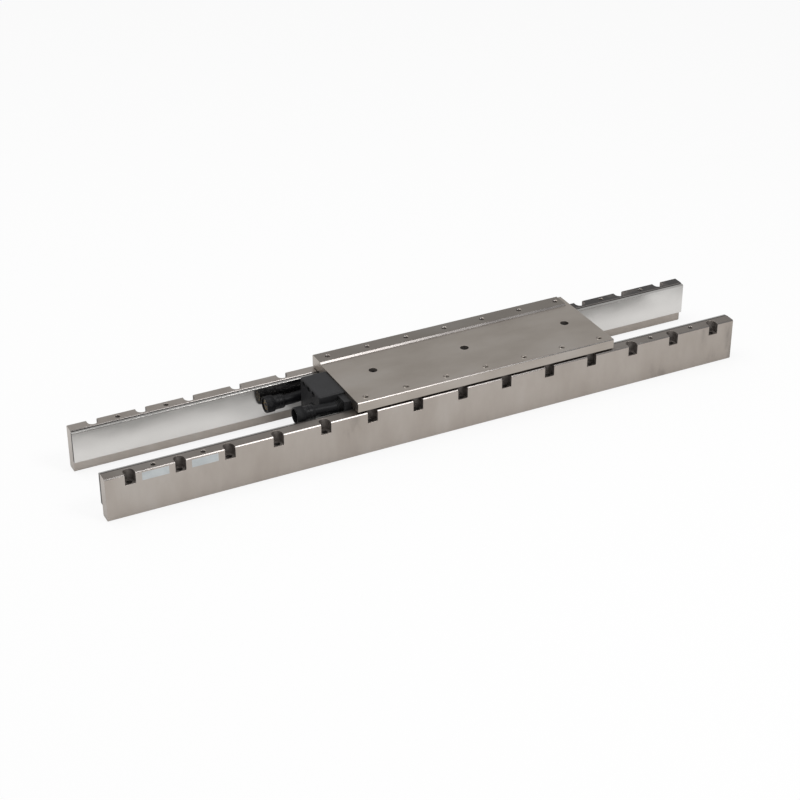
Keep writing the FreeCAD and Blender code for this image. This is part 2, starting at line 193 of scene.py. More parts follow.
add_lamp(
    "front_panel", place=(0.51, -1.05, 1.55), aim=(-0.10, 0.0, 0.05), width=0.55, height=0.5, power=9.0
)
add_lamp("top_panel", place=(-0.6, 0.3, 2.2), aim=(0.0, 0.0, 0.0), width=1.4, height=1.4, power=16.0)


# Leads. Two short stiff leads in satin black jackets leave the terminal block, the power lead on
# the near side and the signal lead lower down on the far side.
class Finish(NodeSheet):
    """A material on the standard surface shader."""

    def __init__(self, name, colour, metal=0.0, roughness=0.5, specular=0.5):
        self.material = bpy.data.materials.new(name)
        self.material.use_nodes = True
        super().__init__(self.material.node_tree)
        self.surface = self.tree.nodes["Principled BSDF"].inputs
        self.surface["Base Color"].default_value = (*colour, 1.0)
        self.surface["Metallic"].default_value = metal
        self.surface["Roughness"].default_value = roughness
        self.surface["Specular IOR Level"].default_value = specular

    def place(self, stretch):
        here = self.node("ShaderNodeTexCoord", output="Object")
        return self.node("ShaderNodeMapping", inputs={"Vector": here, "Scale": stretch})

    def noise(self, grain, stretch=(1, 1, 1), detail=3.0, harshness=0.5):
        # grain is the size of one blotch in metres; stretch below 1 draws it out on that axis
        return self.node(
            "ShaderNodeTexNoise",
            inputs={
                "Vector": self.place(stretch),
                "Scale": 1 / grain,
                "Detail": detail,
                "Roughness": harshness,
            },
        )

    def tint(self, amount, *stops):
        ramp = self.node("ShaderNodeValToRGB", {"stops": stops}, {"Fac": amount})
        self.feed(self.surface["Base Color"], ramp)

    def rough(self, amount):
        self.feed(self.surface["Roughness"], amount)

    def bump(self, height, depth):
        raised = self.node("ShaderNodeBump", inputs={"Height": height, "Distance": depth, "Strength": 1.0})
        self.feed(self.surface["Normal"], raised)


def new_piece(name, mesh, finish):
    made = bpy.data.objects.new(name, mesh)
    mesh.materials.clear()
    mesh.materials.append(finish.material)
    scene.collection.objects.link(made)
    return made


def plain_mesh(made):
    # the evaluated shape as a plain mesh, and the object it came from removed
    evaluated = made.evaluated_get(bpy.context.evaluated_depsgraph_get())
    mesh = bpy.data.meshes.new_from_object(evaluated)
    bpy.data.objects.remove(made)
    return mesh


def lead_curve(name, route, diameter):
    line = bpy.data.curves.new(name, "CURVE")
    line.dimensions = "3D"
    spline = line.splines.new("NURBS")
    spline.points.add(len(route) - 1)
    for point, place in zip(spline.points, route):
        point.co = (*place, 1.0)
    spline.order_u = 3
    spline.use_endpoint_u = True
    line.resolution_u = 12
    line.bevel_depth = diameter / 2
    line.bevel_resolution = 7
    line.use_fill_caps = True
    made = bpy.data.objects.new(name, line)
    scene.collection.objects.link(made)
    return made


lead_diameter = 0.012
lead_routes = {
    "power": [
        Vector((-0.1115, -0.0324, 0.0500)),
        Vector((-0.1195, -0.0324, 0.0500)),
        Vector((-0.1285, -0.0315, 0.0504)),
        Vector((-0.1365, -0.0315, 0.0504)),
    ],
    "signal": [
        Vector((-0.1115, 0.0320, 0.0340)),
        Vector((-0.1225, 0.0320, 0.0340)),
        Vector((-0.1335, 0.0315, 0.0332)),
        Vector((-0.1445, 0.0315, 0.0332)),
    ],
}

jacket = Finish("lead_jacket", (0.006, 0.006, 0.007), roughness=0.42, specular=0.18)
jacket_grain = jacket.noise(0.0011, detail=5.0)
jacket_wear = jacket.noise(0.012)
jacket.tint(jacket_wear, (0.3, (0.004, 0.004, 0.005)), (0.75, (0.009, 0.009, 0.010)))
jacket.rough(0.32 + jacket_wear * 0.2)
jacket.bump(jacket_grain, 0.00005)

for use, route in lead_routes.items():
    name = use + "_lead_jacket"
    lead = new_piece(name, plain_mesh(lead_curve(name, route, lead_diameter)), jacket)
    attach(lead, "mover")
    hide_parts(use + "_lead")


# Glands. Moulded rubber sleeves that narrow from the block to the leads, with grooves round
# them so that they bend before the leads do.
def turned(outline, sides, at=(0, 0, 0), ridges=0, ridge_depth=0.0, tube=False):
    """A solid turned about an axis along X. A station with a third figure carries ridges."""
    solid = bmesh.new()
    rings = []
    for station in outline:
        x, radius = station[:2]
        ridged = len(station) > 2
        ring = []
        for side in range(sides):
            angle = 2 * math.pi * side / sides
            reach = radius
            if ridged:
                reach -= ridge_depth * (0.5 - 0.5 * math.cos(ridges * angle))
            ring.append(
                solid.verts.new((at[0] + x, at[1] + reach * math.cos(angle), at[2] + reach * math.sin(angle)))
            )
        rings.append(ring)
    following = rings[1:] + rings[:1] if tube else rings[1:]
    for first, second in zip(rings, following):
        for side in range(sides):
            after = (side + 1) % sides
            solid.faces.new((first[side], first[after], second[after], second[side]))
    if not tube:
        solid.faces.new(rings[0])
        solid.faces.new(rings[-1])
    return solid


def finished_mesh(name, solid, sharp_from=32.0):
    bmesh.ops.recalc_face_normals(solid, faces=solid.faces)
    mesh = bpy.data.meshes.new(name)
    solid.to_mesh(mesh)
    solid.free()
    mesh.shade_smooth()
    mesh.set_sharp_from_angle(angle=math.radians(sharp_from))
    return mesh


def sleeve_outline(length, root, tip, grooves, groove_depth, collar):
    # stations run from the block towards -X
    outline = [(0.0, root), (-collar, root)]
    step = (length - 1.4 * collar) / grooves
    for groove in range(grooves):
        start = collar + groove * step
        radius = root + (tip - root) * (start + step / 2) / length
        outline.append((-start - 0.10 * step, radius - groove_depth))
        outline.append((-start - 0.45 * step, radius - groove_depth))
        outline.append((-start - 0.55 * step, radius))
        outline.append((-start - 0.95 * step, radius))
    outline.append((-length + 0.1 * collar, tip))
    outline.append((-length, tip - 0.1 * collar))
    return outline


gland_rubber = Finish("gland_rubber", (0.006, 0.006, 0.006), roughness=0.55, specular=0.18)
gland_cloud = gland_rubber.noise(0.004, detail=5.0)
gland_rubber.tint(gland_cloud, (0.3, (0.004, 0.004, 0.004)), (0.8, (0.010, 0.010, 0.011)))
gland_rubber.rough(0.46 + gland_cloud * 0.2)
gland_rubber.bump(gland_rubber.noise(0.0007, detail=4.0), 0.00006)

round_sides = 64
gland_seat = -0.105
gland_sleeve = sleeve_outline(
    length=0.0065, root=0.0072, tip=0.0065, grooves=3, groove_depth=0.0008, collar=0.0014
)
for use, route in lead_routes.items():
    name = use + "_gland_sleeve"
    sleeve = turned(gland_sleeve, round_sides, (gland_seat, route[0].y, route[0].z))
    gland = new_piece(name, finished_mesh(name, sleeve), gland_rubber)
    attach(gland, "mover")
    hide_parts(use + "_gland")


# Plug bodies. Both leads end in a round plug: a grooved neck moulded on the lead, and a knurled
# ring in front of it with the bore for the mating plug.
shell_plastic = Finish("plug_shell", (0.007, 0.007, 0.008), roughness=0.34, specular=0.2)
shell_cloud = shell_plastic.noise(0.006, detail=4.0)
shell_plastic.tint(shell_cloud, (0.3, (0.005, 0.005, 0.006)), (0.8, (0.011, 0.011, 0.012)))
shell_plastic.rough(0.28 + shell_cloud * 0.18)
shell_plastic.bump(shell_plastic.noise(0.0004), 0.00003)

# stations run from the lead towards -X
neck_outline = [
    (0.0000, 0.0062),
    (-0.0004, 0.0074),
    (-0.0022, 0.0080),
    (-0.0026, 0.0080),
    (-0.0030, 0.0076),
    (-0.0040, 0.0076),
    (-0.0044, 0.0080),
    (-0.0066, 0.0080),
    (-0.0070, 0.0076),
    (-0.0080, 0.0076),
    (-0.0084, 0.0080),
    (-0.0116, 0.0080),
    (-0.0120, 0.0078),
]
ring_outline = [
    (-0.0122, 0.0087),
    (-0.0128, 0.0093, 1),
    (-0.0208, 0.0093, 1),
    (-0.0213, 0.0089),
    (-0.0217, 0.0089),
    (-0.0220, 0.0086),
    (-0.0220, 0.0079),
    (-0.0216, 0.0075),
    (-0.0120, 0.0075),
]
knurls = 42
knurl_depth = 0.0005


def plug_part(name, node, outline, route, tube=False):
    solid = turned(outline, 4 * knurls, route[-1], knurls, knurl_depth, tube)
    made = new_piece(name, finished_mesh(name, solid, sharp_from=40.0), shell_plastic)
    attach(made, "mover")
    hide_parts(node)


plug_part("power_plug_body", "power_plug_shell", neck_outline + ring_outline, lead_routes["power"])
plug_part("signal_plug_neck", "signal_plug_hood", neck_outline, lead_routes["signal"])
plug_part("signal_plug_ring", "signal_plug_face", ring_outline, lead_routes["signal"], tube=True)


# Plug inserts. The power plug holds five tinned pins in a pale insert, deep in its bore. The
# signal plug has a black insert nearly flush with its ring, with twelve gilt sockets in two circles.
class Making(NodeSheet):
    """A geometry tree with named inputs that ends in Realize Instances and Set Material."""

    def __init__(self, name):
        super().__init__(bpy.data.node_groups.new(name, "GeometryNodeTree"))
        self.sockets = {}
        self.tree.interface.new_socket("Geometry", in_out="OUTPUT", socket_type="NodeSocketGeometry")
        self.entry = None

    def takes(self, **kinds):
        for name, kind in {"Geometry": "Geometry", **kinds}.items():
            item = self.tree.interface.new_socket(name, in_out="INPUT", socket_type="NodeSocket" + kind)
            self.sockets[name] = item.identifier
        self.entry = self.tree.nodes.new("NodeGroupInput")
        return [Amount(self, self.entry.outputs[name]) for name in ("Geometry", *kinds)]

    def ends(self, shapes, material):
        solid = self.node("GeometryNodeRealizeInstances", inputs={"Geometry": shapes})
        coated = self.node("GeometryNodeSetMaterial", inputs={"Geometry": solid, "Material": material})
        leave = self.tree.nodes.new("NodeGroupOutput")
        self.tree.links.new(coated.socket, leave.inputs[0])

    def make(self, places, **values):
        """Runs the tree on bare points at these places and returns the plain mesh."""
        points = bpy.data.meshes.new("points")
        points.from_pydata([tuple(place) for place in places], [], [])
        carrier = bpy.data.objects.new("points", points)
        scene.collection.objects.link(carrier)
        modifier = carrier.modifiers.new("making", "NODES")
        modifier.node_group = self.tree
        for name, value in values.items():
            modifier[self.sockets[name]] = value
        mesh = plain_mesh(carrier)
        mesh.shade_smooth()
        mesh.set_sharp_from_angle(angle=math.radians(32))
        return mesh


# the tree for every row of alike parts: it stands one shape on each point
row_of = Making("row_of_parts")
row_points, row_part, row_turn, row_material = row_of.takes(
    Part="Object", Turn="Rotation", Material="Material"
)
row_shape = row_of.node("GeometryNodeObjectInfo", inputs={"Object": row_part}, output="Geometry")
row_of.ends(
    row_of.node(
        "GeometryNodeInstanceOnPoints",
        inputs={"Points": row_points, "Instance": row_shape, "Rotation": row_turn},
    ),
    row_material,
)


def in_row(name, solid, places, finish, turn=(0.0, 0.0, 0.0)):
    part = bpy.data.objects.new("pattern", finished_mesh("pattern", solid))
    scene.collection.objects.link(part)
    mesh = row_of.make(places, Part=part, Turn=turn, Material=finish.material)
    bpy.data.objects.remove(part)
    mesh.name = name
    return new_piece(name, mesh, finish)


def round_places(x, centre, radius, count, start=0.0):
    angles = [start + 2 * math.pi * place / count for place in range(count)]
    return [(x, centre.y + radius * math.cos(turn), centre.z + radius * math.sin(turn)) for turn in angles]


insert_plastic = Finish("insert_plastic", (0.72, 0.70, 0.66), roughness=0.35)
insert_cloud = insert_plastic.noise(0.003, detail=3.0)
insert_plastic.tint(insert_cloud, (0.3, (0.66, 0.64, 0.59)), (0.8, (0.78, 0.77, 0.73)))
insert_plastic.rough(0.28 + insert_cloud * 0.16)
insert_plastic.bump(insert_plastic.noise(0.0005), 0.00002)

socket_plastic = Finish("socket_plastic", (0.03, 0.03, 0.03), roughness=0.4)
socket_cloud = socket_plastic.noise(0.003, detail=3.0)
socket_plastic.tint(socket_cloud, (0.3, (0.022, 0.022, 0.023)), (0.8, (0.040, 0.040, 0.042)))
socket_plastic.rough(0.30 + socket_cloud * 0.16)
socket_plastic.bump(socket_plastic.noise(0.0005), 0.00002)

gilt = Finish("contact_brass", (0.80, 0.58, 0.26), metal=1.0, roughness=0.24)
gilt_cloud = gilt.noise(0.002)
gilt.tint(gilt_cloud, (0.3, (0.72, 0.50, 0.20)), (0.8, (0.86, 0.66, 0.34)))
gilt.rough(0.18 + gilt_cloud * 0.14)
gilt.bump(gilt.noise(0.0006), 0.00001)

disc_low, disc_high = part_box("power_plug_insert")
plug_centre = (disc_low + disc_high) / 2
disc_outline = [
    (0.0, 0.0074),
    (-0.0017, 0.0074),
    (-0.0020, 0.0071),
    (-0.0020, 0.0058),
    (-0.0016, 0.0056),
    (-0.0016, 0.0022),
    (-0.0020, 0.0020),
    (-0.0020, 0.0003),
]
disc = turned(disc_outline, round_sides, (disc_high.x, plug_centre.y, plug_centre.z))
plug_disc = new_piece("power_plug_core", finished_mesh("power_plug_core", disc), insert_plastic)
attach(plug_disc, "mover")
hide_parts("power_plug_insert")

pin_outline = [
    (0.0, 0.0010),
    (-0.0032, 0.0010),
    (-0.0037, 0.0008),
    (-0.0040, 0.0004),
    (-0.0040, 0.0001),
]
tinned = Finish("tinned_pin", (0.90, 0.89, 0.86), metal=0.6, roughness=0.3)
tinned_cloud = tinned.noise(0.002)
tinned.tint(tinned_cloud, (0.3, (0.84, 0.83, 0.80)), (0.8, (0.94, 0.93, 0.91)))
tinned.rough(0.24 + tinned_cloud * 0.14)
tinned.bump(tinned.noise(0.0006), 0.00001)
contact_sides = 24
pin_places = round_places(disc_low.x, plug_centre, radius=0.0040, count=5)
plug_pins = in_row("power_plug_contacts", turned(pin_outline, contact_sides), pin_places, tinned)
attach(plug_pins, "mover")
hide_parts("power_plug_pins")

core_low, core_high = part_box("signal_plug_insert")
core_centre = (core_low + core_high) / 2
core_outline = [
    (0.0, 0.0074),
    (-0.0081, 0.0074),
    (-0.0085, 0.0070),
    (-0.0085, 0.0018),
    (-0.0079, 0.0016),
    (-0.0079, 0.0002),
]
core = turned(core_outline, round_sides, (core_high.x, core_centre.y, core_centre.z))
signal_core = new_piece("signal_plug_core", finished_mesh("signal_plug_core", core), socket_plastic)
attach(signal_core, "mover")
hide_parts("signal_plug_insert")

socket_outline = [
    (0.0003, 0.00052),
    (-0.0002, 0.00052),
    (-0.00030, 0.00042),
    (-0.00030, 0.00034),
    (0.0002, 0.00030),
]
outer_sockets = round_places(core_low.x, core_centre, radius=0.0050, count=8)
inner_sockets = round_places(core_low.x, core_centre, radius=0.0029, count=4, start=0.4)
plug_sockets = in_row(
    "signal_plug_sockets", turned(socket_outline, contact_sides), outer_sockets + inner_sockets, gilt
)
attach(plug_sockets, "mover")


# Track yokes. Two straight bars of ground and plated steel that carry the magnets. Their edges
# are eased by hand. The bolt pockets are milled from above, and a dull darker steel paints the shade in them.
weld_distance = 1e-6
flat_below = math.radians(0.4)
hard_above = math.radians(35)
crease_above = math.radians(34)


def eased_copy(node, ease):
    """A CAD node's shape with its hard edges eased, as one joined surface."""
    solid = bmesh.new()
    solid.from_mesh(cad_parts[node].data)
    bmesh.ops.remove_doubles(solid, verts=solid.verts, dist=weld_distance)
    bmesh.ops.dissolve_limit(
        solid, angle_limit=flat_below, verts=solid.verts, edges=solid.edges, delimit={"NORMAL"}
    )
    hard = [
        edge
        for edge in solid.edges
        if len(edge.link_faces) == 2 and edge.calc_face_angle(0.0) > hard_above
    ]
    bmesh.ops.bevel(
        solid,
        geom=hard,
        offset=ease,
        offset_type="OFFSET",
        segments=2,
        profile=0.5,
        affect="EDGES",
        clamp_overlap=False,
        harden_normals=False,
    )
    mesh = bpy.data.meshes.new(node)
    solid.to_mesh(mesh)
    solid.free()
    mesh.shade_smooth()
    mesh.set_sharp_from_angle(angle=crease_above)
    # normals that follow the wide faces, so that only the eased edges look round
    eased = bpy.data.objects.new(node, mesh)
    scene.collection.objects.link(eased)
    wide = eased.modifiers.new("wide_faces", "WEIGHTED_NORMAL")
    wide.mode = "FACE_AREA"
    wide.weight = 100
    wide.keep_sharp = True
    return plain_mesh(eased)


def second_finish(piece, finish, wanted):
    # the wanted faces take a further material
    mesh = piece.data
    mesh.materials.append(finish.material)
    for face in mesh.polygons:
        if wanted(face.center, face.normal):
            face.material_index = len(mesh.materials) - 1


def on_chamfer(centre, normal):
    return abs(normal.y) > 0.5 and normal.z > 0.5


def ground_metal(name, share, painted_shade_start, painted_shade_end, painted_shade_depth):
    """Ground steel with a share of full brightness, painted darker as shade from one place on X to another.
    """
    metal = Finish(name, (0.42 * share, 0.385 * share, 0.35 * share), metal=1.0, roughness=0.36)
    mottle = metal.noise(0.035, stretch=(1.0, 1.0, 0.35), detail=5.0, harshness=0.6)
    stain = metal.noise(0.16, stretch=(1.0, 1.0, 0.6), detail=2.0)
    lines = metal.noise(0.0006, stretch=(0.012, 1.0, 1.0), detail=2.0)
    # painted shade: the colour is pushed darker along X between the two given places
    along = metal.node("ShaderNodeSeparateXYZ", inputs={0: metal.place((1, 1, 1))}, output="X")
    darker = metal.node(
        "ShaderNodeMapRange",
        inputs={"Value": along, "From Min": painted_shade_start, "From Max": painted_shade_end, "To Max": painted_shade_depth},
    )
    metal.tint(
        mottle * 0.7 + stain * 0.3 - darker,
        (0.08, (0.085 * share, 0.080 * share, 0.078 * share)),
        (0.34, (0.375 * share, 0.335 * share, 0.300 * share)),
        (0.52, (0.425 * share, 0.385 * share, 0.350 * share)),
        (0.68, (0.465 * share, 0.432 * share, 0.400 * share)),
    )
    metal.rough(0.27 + mottle * 0.12 + lines * 0.06)
    metal.bump(lines + mottle * 0.5, 0.000018)
    return metal


# painted shade: the faces of both bars darken towards +X
ground_steel = ground_metal(
    "ground_steel", share=1.04, painted_shade_start=-0.15, painted_shade_end=0.40, painted_shade_depth=0.17
)
# painted shade: the bar tops are darker copies of the ground steel; the far top darkens to near black towards
# +X as a painted dark reflection
yoke_tops = {
    "near_yoke": ground_metal("oiled_top", share=0.62, painted_shade_start=0.0, painted_shade_end=0.38, painted_shade_depth=0.08),
    "far_yoke": ground_metal("stained_top", share=0.90, painted_shade_start=0.0, painted_shade_end=0.23, painted_shade_depth=0.46),
}

# painted shade: the chamfers take a darker copy of the steel, so they show as a dark line where the front
# lamp's highlight doesn't reach
edge_steel = Finish("edge_steel", (0.22, 0.205, 0.195), metal=1.0, roughness=0.24)
edge_cloud = edge_steel.noise(0.01, stretch=(0.3, 1.0, 1.0), detail=3.0)
edge_steel.tint(edge_cloud, (0.3, (0.190, 0.175, 0.168)), (0.8, (0.250, 0.235, 0.225)))
edge_steel.rough(0.19 + edge_cloud * 0.10)
edge_steel.bump(edge_steel.noise(0.0006, stretch=(0.012, 1.0, 1.0)), 0.00001)

# painted shade: this darker, duller steel goes on pockets, holes and threads, where shade falls
hole_steel = Finish("hole_steel", (0.21, 0.19, 0.175), metal=0.85, roughness=0.5)
hole_cloud = hole_steel.noise(0.004, detail=4.0)
hole_steel.tint(hole_cloud, (0.3, (0.140, 0.125, 0.115)), (0.8, (0.270, 0.245, 0.228)))
hole_steel.rough(0.44 + hole_cloud * 0.25)
hole_steel.bump(hole_steel.noise(0.0012, detail=4.0), 0.00006)

track_top = 0.050
track_half_length = 0.378
yoke_inner_face = 0.0460
yoke_outer_face = 0.0600
flat_slack = 0.0001


def inside_yoke(centre, normal):
    within_walls = yoke_inner_face + 0.0008 < abs(centre.y) < yoke_outer_face - 0.0014
    within_height = 0.0020 < centre.z < track_top - 0.0015
    return within_walls and within_height and abs(centre.x) < track_half_length - 0.001


def on_track_top(centre, normal):
    return centre.z > track_top - flat_slack


# painted shade: on each bar the pockets take the darker hole steel, the top a darker copy and the chamfers
# the edge steel
for node, top_finish in yoke_tops.items():
    yoke = new_piece(node + "_bar", eased_copy(node, ease=0.00025), ground_steel)
    second_finish(yoke, hole_steel, inside_yoke)
    second_finish(yoke, top_finish, on_track_top)
    second_finish(yoke, edge_steel, on_chamfer)
    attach(yoke, "tracks")
    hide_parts(node)


# Tapped holes of the tracks. Threads cut for M6, two at each end of both bars, where a lifting
# aid or a setting tool is screwed on.
thread_tree = Making("cut_thread")
thread_points, thread_radius, thread_rise, thread_turns, thread_wire, thread_material = thread_tree.takes(
    Radius="Float", Rise="Float", Turns="Float", Wire="Float", Material="Material"
)
thread_path = thread_tree.node(
    "GeometryNodeCurveSpiral",
    inputs={
        "Resolution": 28,
        "Rotations": thread_turns,
        "Start Radius": thread_radius,
        "End Radius": thread_radius,
        "Height": thread_turns * thread_rise,
    },
)
thread_section = thread_tree.node(
    "GeometryNodeCurvePrimitiveCircle", {"mode": "RADIUS"}, {"Resolution": 4, "Radius": thread_wire}
)
thread_coil = thread_tree.node(
    "GeometryNodeCurveToMesh",
    inputs={"Curve": thread_path, "Profile Curve": thread_section, "Fill Caps": True},
)
thread_tree.ends(
    thread_tree.node(
        "GeometryNodeInstanceOnPoints", inputs={"Points": thread_points, "Instance": thread_coil}
    ),
    thread_material,
)
thread_rise_m6 = 0.001
thread_radius_m6 = 0.00255
thread_wire_m6 = 0.00034
track_turns = 10
plate_turns = 9


def threads(name, places, turns, finish):
    mesh = thread_tree.make(
        places,
        Radius=thread_radius_m6,
        Rise=thread_rise_m6,
        Turns=float(turns),
        Wire=thread_wire_m6,
        Material=finish.material,
    )
    mesh.name = name
    return new_piece(name, mesh, finish)


tap_bays = (-0.324, -0.270, 0.270, 0.324)
tap_side = 0.053
tap_thread_depth = 0.0112
track_thread_places = [
    (bay, side * tap_side, track_top - tap_thread_depth) for bay in tap_bays for side in (-1, 1)
]
# painted shade: the threads in the bars take the darker hole steel
track_threads = threads("track_threads", track_thread_places, track_turns, hole_steel)
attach(track_threads, "tracks")


# Blank plates. Two thin foil plates lie on the near bar's outer face between its first pockets.
# They are bare, with nothing printed on them.
def eased_block(size, ease):
    solid = bmesh.new()
    bmesh.ops.create_cube(solid, size=1.0)
    bmesh.ops.scale(solid, vec=size, verts=solid.verts)
    bmesh.ops.bevel(
        solid, geom=solid.edges[:], offset=ease, segments=2, profile=0.5, affect="EDGES", clamp_overlap=True
    )
    return solid


foil = Finish("blank_foil", (0.62, 0.66, 0.68), metal=0.35, roughness=0.34)
foil_cloud = foil.noise(0.008, detail=3.0)
foil.tint(foil_cloud, (0.3, (0.46, 0.49, 0.50)), (0.75, (0.56, 0.59, 0.60)))
foil.rough(0.28 + foil_cloud * 0.14)
foil.bump(foil.noise(0.0012), 0.00002)
foil_size = (0.029, 0.00016, 0.0092)
foil_ease = 0.00006
foil_height = 0.0432
foil_places = [(x, -yoke_outer_face, foil_height) for x in (-0.3240, -0.2705)]
foil_sheets = in_row("blank_plates", eased_block(foil_size, foil_ease), foil_places, foil)
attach(foil_sheets, "tracks")


# Magnets. Twenty-eight flat plated blocks stand on each bar, poles turned about one by one,
# with strips of cast resin between them.
magnet_plate = Finish("magnet_plating", (0.52, 0.51, 0.49), metal=1.0, roughness=0.3)
magnet_cloud = magnet_plate.noise(0.007, detail=4.0)
magnet_plate.tint(magnet_cloud, (0.3, (0.45, 0.44, 0.42)), (0.8, (0.60, 0.59, 0.57)))
magnet_plate.rough(0.24 + magnet_cloud * 0.16)
magnet_plate.bump(magnet_plate.noise(0.0009), 0.00002)

gap_resin = Finish("gap_resin", (0.05, 0.045, 0.042), roughness=0.5, specular=0.3)
resin_cloud = gap_resin.noise(0.004, detail=4.0)
gap_resin.tint(resin_cloud, (0.3, (0.035, 0.031, 0.029)), (0.8, (0.070, 0.063, 0.058)))
gap_resin.rough(0.40 + resin_cloud * 0.25)
gap_resin.bump(gap_resin.noise(0.0015, detail=4.0), 0.00012)


def coat(node, finish):
    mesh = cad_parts[node].data
    mesh.materials.clear()
    mesh.materials.append(finish.material)


for side in ("near", "far"):
    coat(side + "_magnets_north", magnet_plate)
    coat(side + "_magnets_south", magnet_plate)
    coat(side + "_gap_resin", gap_resin)


# Magnet covers. Thin stainless sheet, bright from rolling, is bent over the magnets along both
# long edges and bonded to the bar. A dark strip along its upper edge paints the shade in the gap.
stainless = Finish("stainless_sheet", (0.70, 0.685, 0.665), metal=1.0, roughness=0.15)
sheet_lines = stainless.noise(0.0005, stretch=(0.01, 1.0, 1.0), detail=2.0)
sheet_cloud = stainless.noise(0.05, stretch=(0.5, 1.0, 1.0), detail=3.0)
# painted reflection: the sheet is coloured darker towards its top, where it reflects shaded floor
sheet_height = stainless.node("ShaderNodeSeparateXYZ", inputs={0: stainless.place((1, 1, 1))}, output="Z")
sheet_painted_shade = stainless.node(
    "ShaderNodeMapRange", inputs={"Value": sheet_height, "From Min": 0.024, "From Max": 0.048, "To Max": 0.5}
)
stainless.tint(
    sheet_cloud - sheet_painted_shade,
    (0.0, (0.460, 0.450, 0.435)),
    (0.3, (0.670, 0.655, 0.635)),
    (0.75, (0.755, 0.740, 0.720)),
)
stainless.rough(0.11 + sheet_cloud * 0.06 + sheet_lines * 0.03)
stainless.bump(sheet_lines * 0.6 + sheet_cloud, 0.00003)
for side in ("near", "far"):
    coat(side + "_magnet_cover", stainless)

bead_size = (0.7556, 0.0008, 0.0006)
bead_ease = 0.0002
bead_side = 0.0458
bead_height = 0.0494
bead_places = [(0.0, side * bead_side, bead_height) for side in (-1, 1)]
# painted shade: a dark strip of resin colour along the top of each cover stands in for the shaded gap
edge_shade_strips = in_row("cover_bond_lines", eased_block(bead_size, bead_ease), bead_places, gap_resin)
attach(edge_shade_strips, "tracks")


# Mounting plate. A milled plate with a satin plated surface. Its far side is left two
# millimetres higher as a locating land, and two rows of tapped holes take the machine's slide.
def plate_finish(name, share):
    metal = Finish(name, (0.42 * share, 0.385 * share, 0.35 * share), metal=1.0, roughness=0.34)
    mottle = metal.noise(0.045, stretch=(0.5, 1.0, 1.0), detail=5.0, harshness=0.55)
    lines = metal.noise(0.0007, stretch=(0.015, 1.0, 1.0), detail=2.0)
    metal.tint(
        mottle,
        (0.32, (0.375 * share, 0.335 * share, 0.295 * share)),
        (0.50, (0.420 * share, 0.380 * share, 0.340 * share)),
        (0.70, (0.455 * share, 0.420 * share, 0.385 * share)),
    )
    metal.rough(0.26 + mottle * 0.14 + lines * 0.05)
    metal.bump(lines + mottle * 0.4, 0.000018)
    return metal


plate_metal = plate_finish("plate_metal", 1.0)
# painted shade: the land's top is a darker copy of the plate metal
land_metal = plate_finish("land_metal", 0.62)
land_top = 0.065
plate_half_width = 0.0580
plate_left = -0.0970
plate_right = 0.2180
plate_underside = 0.0510
inside_top = 0.0619
plate_skin = 0.0005


def inside_plate(centre, normal):
    within_sides = abs(centre.y) < plate_half_width - plate_skin
    within_ends = plate_left + plate_skin < centre.x < plate_right - plate_skin
    return within_sides and within_ends and plate_underside + plate_skin < centre.z < inside_top


def on_land(centre, normal):
    return centre.z > land_top - flat_slack


plate = new_piece("mounting_plate_milled", eased_copy("mounting_plate", ease=0.00022), plate_metal)
# painted shade: the plate's holes take the darker hole steel, and its chamfers the darker edge steel
second_finish(plate, hole_steel, inside_plate)
second_finish(plate, land_metal, on_land)
second_finish(plate, edge_steel, on_chamfer)
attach(plate, "mover")
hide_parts("mounting_plate")

row_middle = 0.0605
row_pitch = 0.048
row_count = 7
row_side = 0.048
row_thread_foot = 0.0541
row_steps = [place - (row_count - 1) / 2 for place in range(row_count)]
# painted shade: the far row's threads take the darker hole steel; the near row's keep the plate metal
for name, side, finish in (
    ("near_plate_threads", -row_side, plate_metal),
    ("far_plate_threads", row_side, hole_steel),
):
    places = [(row_middle + row_pitch * step, side, row_thread_foot) for step in row_steps]
    plate_threads = threads(name, places, plate_turns, finish)
    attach(plate_threads, "mover")


# Clamp screws. Three blackened socket head screws, sunk in the plate, pull the core up against
# it. The heads are knurled and the tips are threaded into the bar under the core.
def socket_screw(head_radius, head_height, shank_radius, shank_length, key, key_depth, ridges):
    """A screw along X: the head's top looks to -X and the shank runs to +X from the origin."""
    rim = 0.08 * head_radius
    outline = [
        (-head_height, key / 2),
        (-head_height, head_radius - rim),
        (-head_height + rim, head_radius, 1),
        (-rim, head_radius, 1),
        (0.0, head_radius - rim),
        (0.0, shank_radius),
        (shank_length - 0.6 * shank_radius, shank_radius),
        (shank_length, 0.6 * shank_radius),
    ]
    sides = ridges * 4
    solid = turned(outline, sides, ridges=ridges, ridge_depth=0.03 * head_radius)
    cap = max(solid.faces, key=lambda face: -face.calc_center_median().x if len(face.verts) == sides else -1)
    corner = key / math.sqrt(3)
    for vertex in cap.verts:
        angle = math.atan2(vertex.co.z, vertex.co.y)
        within = (angle % (math.pi / 3)) - math.pi / 6
        reach = corner * math.cos(math.pi / 6) / math.cos(within)
        vertex.co.y = reach * math.cos(angle)
        vertex.co.z = reach * math.sin(angle)
    bottom = bmesh.ops.extrude_face_region(solid, geom=[cap])["geom"]
    floor_points = [item for item in bottom if isinstance(item, bmesh.types.BMVert)]
    bmesh.ops.translate(solid, vec=(key_depth, 0, 0), verts=floor_points)
    bmesh.ops.delete(solid, geom=[cap], context="FACES_ONLY")
    return solid


black_steel = Finish("screw_steel", (0.055, 0.055, 0.06), metal=0.85, roughness=0.38)
oxide_cloud = black_steel.noise(0.0025, detail=4.0)
black_steel.tint(oxide_cloud, (0.3, (0.040, 0.040, 0.044)), (0.8, (0.105, 0.100, 0.098)))
black_steel.rough(0.30 + oxide_cloud * 0.2)
black_steel.bump(black_steel.noise(0.0005), 0.00002)

